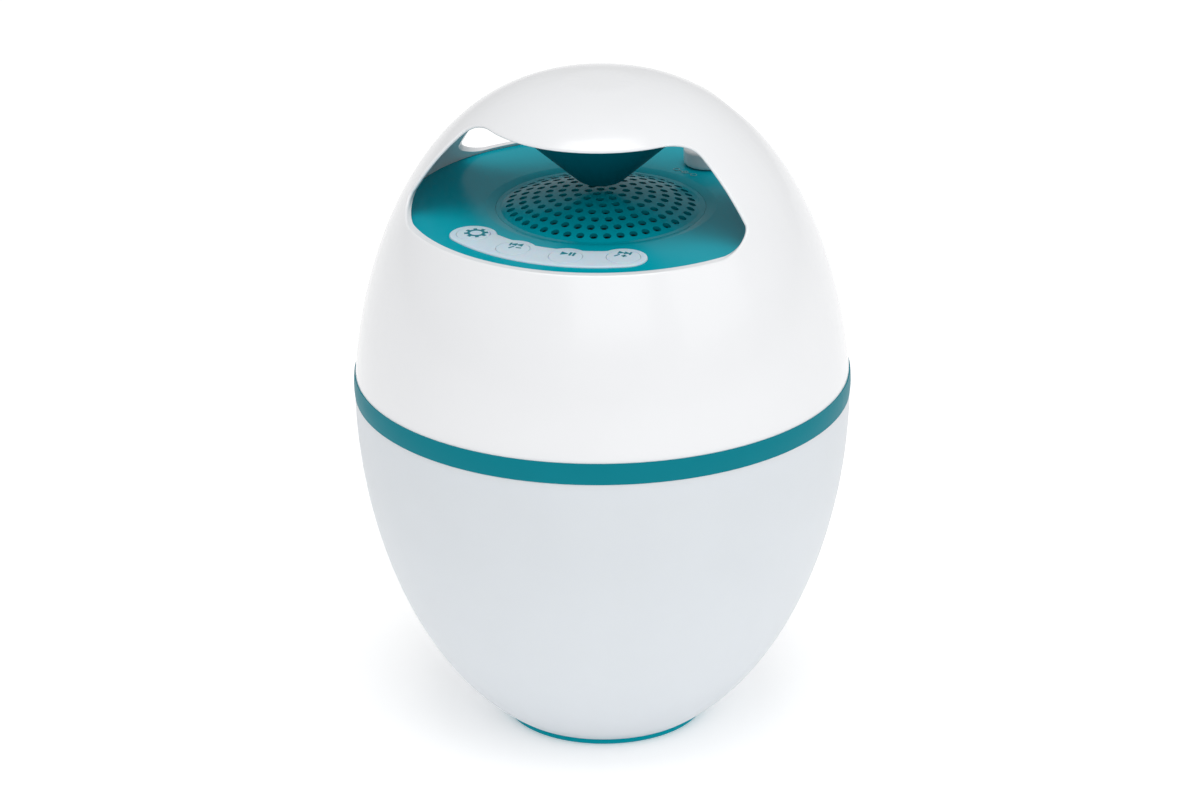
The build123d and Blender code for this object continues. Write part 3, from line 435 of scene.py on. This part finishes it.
def make_strip():
    """Keypad strip whose outer top edge is softly rounded; the edges at the keys stay crisp."""
    strip = copy_of("keypad_strip", "keypad_skin")
    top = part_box("keypad_strip")[1].z
    keys = [centre("key_" + name).xy for name in KEYS]
    reach = (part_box("key_play")[1].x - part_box("key_play")[0].x) / 2 + 0.5 * MM
    mesh = strip.data
    weights = mesh.attributes.new("bevel_weight_edge", "FLOAT", "EDGE")
    for edge in mesh.edges:
        ends = [mesh.vertices[i].co for i in edge.vertices]
        level = all(abs(co.z - top) < 0.01 * MM for co in ends)
        outer = all((co.xy - key).length > reach for co in ends for key in keys)
        weights.data[edge.index].value = 1.0 if level and outer else 0.0
    bevel(strip, sizes().strip_round, 4, limit="WEIGHT")
    smooth(strip, 40)
    return strip


def make_key(name):
    """Round silicone key: a shallow dome with a rounded edge on its own post."""
    low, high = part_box("key_" + name)
    middle = (low + high) / 2
    radius = (high.x - low.x) / 2
    size = sizes()
    edge_top = high.z - size.key_dome
    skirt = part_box("keypad_strip")[0].z + size.key_clearance
    post = size.key_post
    profile = [(0, high.z)]
    for i in range(1, 7):
        share = i / 7
        profile.append(((radius - size.key_round) * share, high.z - size.key_dome * share ** 2))
    profile += arc(radius - size.key_round, edge_top - size.key_round, size.key_round, 90, 0)
    profile += [(radius, skirt), (post, skirt), (post, low.z), (0, low.z)]
    key = lathe("key_cap_" + name, profile, middle.x, middle.y, 64)
    smooth(key, 40)
    return key


def flat_prism(sides, radius, x, y, z, height, turn=0.0):
    """Thin upright prism, one stroke of a printed symbol."""
    deselect()
    bpy.ops.mesh.primitive_cylinder_add(vertices=sides, radius=radius, depth=height,
                                        location=(x, y, z + height / 2), rotation=(0, 0, turn))
    piece = bpy.context.object
    apply_place(piece)
    return piece


def stroke(x, y, z, width, depth, height, turn=0.0):
    """Thin straight bar of a printed symbol."""
    deselect()
    bpy.ops.mesh.primitive_cube_add(size=1, location=(x, y, z + height / 2), rotation=(0, 0, turn),
                                    scale=(width, depth, height))
    piece = bpy.context.object
    apply_place(piece)
    return piece


def join(pieces, name):
    """Joins loose strokes into one piece."""
    focus(pieces[0])
    for other in pieces[1:]:
        other.select_set(True)
    bpy.ops.object.join()
    piece = bpy.context.object
    piece.name = name
    return piece


def arrow(x, y, z, side):
    """Triangle that points left or right."""
    turn = 0 if side < 0 else math.pi
    return flat_prism(3, sizes().arrow, x, y, z, sizes().print_height, turn + math.pi / 2)


def ring_symbol(x, y, z, outer, line, height, sides=64):
    """Flat ring of a printed symbol."""
    ring = flat_prism(sides, outer, x, y, z, height)
    edit(ring, "FACE")
    bpy.ops.mesh.select_all(action="DESELECT")
    leave()
    for face in ring.data.polygons:
        face.select = abs(face.normal.z) > 0.9
    edit(ring, "FACE")
    bpy.ops.mesh.inset(thickness=line, depth=0)
    bpy.ops.mesh.bridge_edge_loops()
    leave()
    return ring


def light_symbol(x, y, z):
    """Ring with eight short rays."""
    size = sizes()
    strokes = [ring_symbol(x, y, z, size.gear_radius, size.gear_stroke, size.print_height)]
    reach = size.gear_radius + size.gear_tooth / 2 - 0.15 * MM
    for i in range(8):
        turn = math.radians(22.5 + 45 * i)
        strokes.append(stroke(x + reach * math.cos(turn), y + reach * math.sin(turn), z,
                              size.gear_tooth, 1.25 * MM, size.print_height, turn))
    return strokes


def track_symbol(x, y, z, side):
    """Two arrows and a bar, over a slash with a minus on the left key and a plus on the right key."""
    size = sizes()
    step = size.arrow * 1.5
    strokes = [arrow(x - step / 2, y, z, side), arrow(x + step / 2, y, z, side)]
    strokes.append(stroke(x + side * step * 1.2, y, z, size.bar, size.arrow * 1.75, size.print_height))
    row = y - 2.8 * MM
    slash_x, slash_length, slash_turn = x - 1.5 * MM, 2.4 * MM, math.radians(-32)
    sign_x, sign_length = x + 1.1 * MM, 1.9 * MM
    strokes.append(stroke(slash_x, row, z, size.bar, slash_length, size.print_height, slash_turn))
    strokes.append(stroke(sign_x, row, z, sign_length, size.bar, size.print_height))
    if side > 0:
        strokes.append(stroke(sign_x, row, z, size.bar, sign_length, size.print_height))
    return strokes


def play_symbol(x, y, z):
    """Arrow and two bars."""
    size = sizes()
    strokes = [flat_prism(3, 1.75 * MM, x - 1.3 * MM, y, z, size.print_height, -math.pi / 2)]
    for shift in (1.2, 2.5):
        strokes.append(stroke(x + shift * MM, y, z, size.bar * 1.25, 3.0 * MM, size.print_height))
    return strokes


def make_symbol(name):
    """Printed symbol on a key, a little inwards of the key's middle."""
    low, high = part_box("key_" + name)
    middle = (low + high) / 2
    shift = (1.2 if name == "light" else 2.4) * MM
    inwards = Vector((middle.x, middle.y, 0)).normalized() * shift
    x, y = middle.x - inwards.x, middle.y - inwards.y
    z = high.z - sizes().key_dome
    if name == "light":
        strokes = light_symbol(x, y, z)
    elif name == "play":
        strokes = play_symbol(x, y, z)
    else:
        strokes = track_symbol(x, y + 1.2 * MM, z, -1 if name == "previous" else 1)
    return join(strokes, "symbol_" + name)


def make_cap():
    """Charge cap: a turned head with a shallow dish on top, and its stem."""
    low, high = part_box("charge_cap")
    middle = (low + high) / 2
    radius = (high.x - low.x) / 2
    size = sizes()
    round_edge = size.cap_round
    head_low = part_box("deck")[1].z + 0.1 * MM
    stem = size.cap_stem
    profile = [(0, high.z - size.cap_dish)]
    for i in range(1, 6):
        share = i / 6
        profile.append(((radius - size.cap_rim) * share, high.z - size.cap_dish * (1 - share ** 4)))
    profile += arc(radius - round_edge, high.z - round_edge, round_edge, 90, 0, 8)
    profile += arc(radius - round_edge, head_low + round_edge, round_edge, 0, -90, 8)
    seal_low, seal_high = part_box("cap_seal")
    groove = stem - size.cap_groove
    profile += [(stem, head_low), (stem, seal_high.z), (groove, seal_high.z), (groove, seal_low.z)]
    profile += [(stem, seal_low.z), (stem, low.z + 0.4 * MM), (stem - 0.4 * MM, low.z), (0, low.z)]
    cap = lathe("charge_bung", profile, middle.x, middle.y, 96)
    smooth(cap, 40)
    return cap


def make_deck_mark():
    """Generic polarity sign beside the charge cap: three rings joined by bars, the middle one dotted."""
    spot = centre("charge_cap")
    size = sizes()
    outwards = Vector((spot.x, spot.y, 0)).normalized()
    along = Vector((outwards.y, -outwards.x, 0))
    start = Vector((spot.x, spot.y, 0)) - outwards * size.mark_inset
    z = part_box("deck")[1].z
    turn = math.atan2(along.y, along.x)
    height = size.print_height
    strokes = []
    for step in (-1, 0, 1):
        at = start + along * step * size.mark_pitch
        strokes.append(ring_symbol(at.x, at.y, z, size.mark_ring, size.mark_line, height, 32))
    for step in (-0.5, 0.5):
        at = start + along * step * size.mark_pitch
        bar_length = size.mark_pitch - 2 * size.mark_ring
        strokes.append(stroke(at.x, at.y, z, bar_length, size.mark_line, height, turn))
    strokes.append(flat_prism(24, 0.5 * MM, start.x, start.y, z, height))
    return join(strokes, "charge_mark")


# ---------------------------------------------------------------- stage

def make_floor():
    """Wide pale floor."""
    deselect()
    bpy.ops.mesh.primitive_plane_add(size=14, location=(0, 0, 0))
    floor = bpy.context.object
    floor.name = "studio_floor"
    material, tree = new_material("matt_white_paper")
    place = add_node(tree, "ShaderNodeTexCoord")
    fibres = add_node(tree, "ShaderNodeTexNoise", {"Scale": 1 / (2 * MM), "Detail": 3.0},
                      {"Vector": place.outputs["Object"]})
    skin = add_node(tree, "ShaderNodeBump", {"Strength": 0.02, "Distance": 0.05 * MM},
                    {"Height": fibres.outputs["Fac"]})
    shader = add_node(tree, "ShaderNodeBsdfPrincipled",
                      {"Base Color": rgba(colours().floor), "Roughness": 0.9, "Specular IOR Level": 0.2,
                       "Emission Color": (1.0, 1.0, 1.0, 1.0), "Emission Strength": 0.24},
                      {"Normal": skin.outputs["Normal"]})
    finish_material(tree, shader)
    dress(floor, material)


def soft_box(name, azimuth, height, distance, size, watts, aim=(0, 0, 0.13)):
    """Square area light that looks at the speaker from an azimuth in degrees, 0 being the front."""
    a = math.radians(azimuth)
    spot = Vector((distance * math.sin(a), -distance * math.cos(a), height))
    turn = (Vector(aim) - spot).to_track_quat("-Z", "Y").to_euler()
    deselect()
    bpy.ops.object.light_add(type="AREA", location=spot, rotation=turn)
    lamp = bpy.context.object
    lamp.name = name
    lamp.data.shape = "SQUARE"
    lamp.data.size = size
    lamp.data.energy = watts
    return lamp


def make_lights():
    """White surroundings and three large soft boxes."""
    world = bpy.data.worlds.new("white_studio")
    world.use_nodes = True
    background = world.node_tree.nodes["Background"]
    background.inputs["Color"].default_value = (1.0, 1.0, 1.0, 1.0)
    background.inputs["Strength"].default_value = 0.58
    bpy.context.scene.world = world
    soft_box("key_light", 22, 1.4, 1.9, 1.6, 7)
    soft_box("fill_light", 75, 1.1, 1.8, 1.4, 4)
    soft_box("top_light", 20, 2.2, 0.3, 1.4, 17)


def make_camera():
    """Long lens, a little above the speaker and to the right of its keys."""
    turn = Euler((math.radians(90 - 22.747), 0, math.radians(17.2)), "XYZ").to_matrix()
    roll = Euler((0, 0, math.radians(-0.527)), "XYZ").to_matrix()
    spot = (531.4 * MM, -1719.8 * MM, 875.9 * MM)
    deselect()
    bpy.ops.object.camera_add(location=spot, rotation=(turn @ roll).to_euler())
    camera = bpy.context.object
    camera.name = "studio_camera"
    camera.data.lens = 161.2
    camera.data.sensor_width = 36.0
    camera.data.clip_end = 40
    bpy.context.scene.camera = camera


# ---------------------------------------------------------------- operators

class SpeakerStage(bpy.types.Operator):
    """Adds the floor, the lights and the camera"""
    bl_idname = "speaker.stage"
    bl_label = "Stage"

    def execute(self, context):
        make_floor()
        make_lights()
        make_camera()
        context.scene.view_settings.view_transform = "Standard"
        return {"FINISHED"}


MATERIALS = {}


class SpeakerFinishes(bpy.types.Operator):
    """Makes every finish and gives the frame's pieces theirs"""
    bl_idname = "speaker.finishes"
    bl_label = "Finishes"

    def execute(self, context):
        MATERIALS.update(make_materials())
        slots = {entry["node"]: entry["material_slot"] for entry in frame["record"]["subparts"]}
        slots.update(speaker_grille="grille", deflector_cone="deflector", deflector_plate="deflector")
        for node, piece in frame["nodes"].items():
            dress(piece, MATERIALS[slots[node]])
        return {"FINISHED"}


class SpeakerKeypad(bpy.types.Operator):
    """Adds the keypad strip"""
    bl_idname = "speaker.keypad"
    bl_label = "Keypad strip"

    def execute(self, context):
        strip = make_strip()
        dress(strip, MATERIALS["pale_silicone"])
        settle(strip, "housing", "pale_silicone", "keypad_strip")
        return {"FINISHED"}


class SpeakerKeys(bpy.types.Operator):
    """Adds the four keys"""
    bl_idname = "speaker.keys"
    bl_label = "Keys"

    def execute(self, context):
        for name in KEYS:
            key = make_key(name)
            dress(key, MATERIALS["pale_silicone"])
            settle(key, "button_" + name, "pale_silicone", "key_" + name)
        return {"FINISHED"}


class SpeakerSymbols(bpy.types.Operator):
    """Prints the symbols on the keys"""
    bl_idname = "speaker.symbols"
    bl_label = "Key symbols"

    def execute(self, context):
        for name in KEYS:
            symbol = make_symbol(name)
            dress(symbol, MATERIALS["symbol_print"])
            settle(symbol, "button_" + name, "teal_plastic")
        return {"FINISHED"}


class SpeakerCap(bpy.types.Operator):
    """Adds the charge cap and the sign beside it"""
    bl_idname = "speaker.cap"
    bl_label = "Charge cap"

    def execute(self, context):
        cap = make_cap()
        dress(cap, MATERIALS["white_shell"])
        settle(cap, "charge_bung", "white_shell", "charge_cap")
        mark = make_deck_mark()
        dress(mark, MATERIALS["mark_print"])
        settle(mark, "housing", "teal_plastic")
        return {"FINISHED"}


STEPS = (SpeakerStage, SpeakerFinishes, SpeakerKeypad, SpeakerKeys, SpeakerSymbols, SpeakerCap)


class SpeakerPanel(bpy.types.Panel):
    """Lists the steps that build the speaker's looks"""
    bl_idname = "VIEW3D_PT_speaker"
    bl_label = "Party Speaker"
    bl_space_type = "VIEW_3D"
    bl_region_type = "UI"
    bl_category = "Speaker"

    def draw(self, context):
        for step in STEPS:
            self.layout.operator(step.bl_idname)
        for group in (context.scene.speaker_sizes, context.scene.speaker_colours):
            box = self.layout.box()
            for name in group.__annotations__:
                box.prop(group, name)


CLASSES = (SpeakerSizes, SpeakerColours, *STEPS, SpeakerPanel)


def register():
    for cls in CLASSES:
        bpy.utils.register_class(cls)
    bpy.types.Scene.speaker_sizes = bpy.props.PointerProperty(type=SpeakerSizes)
    bpy.types.Scene.speaker_colours = bpy.props.PointerProperty(type=SpeakerColours)


def unregister():
    del bpy.types.Scene.speaker_colours
    del bpy.types.Scene.speaker_sizes
    for cls in reversed(CLASSES):
        bpy.utils.unregister_class(cls)


def main():
    register()
    bpy.ops.speaker.stage()
    bpy.ops.speaker.finishes()
    bpy.ops.speaker.keypad()
    bpy.ops.speaker.keys()
    bpy.ops.speaker.symbols()
    bpy.ops.speaker.cap()


if __name__ == "__main__":
    main()
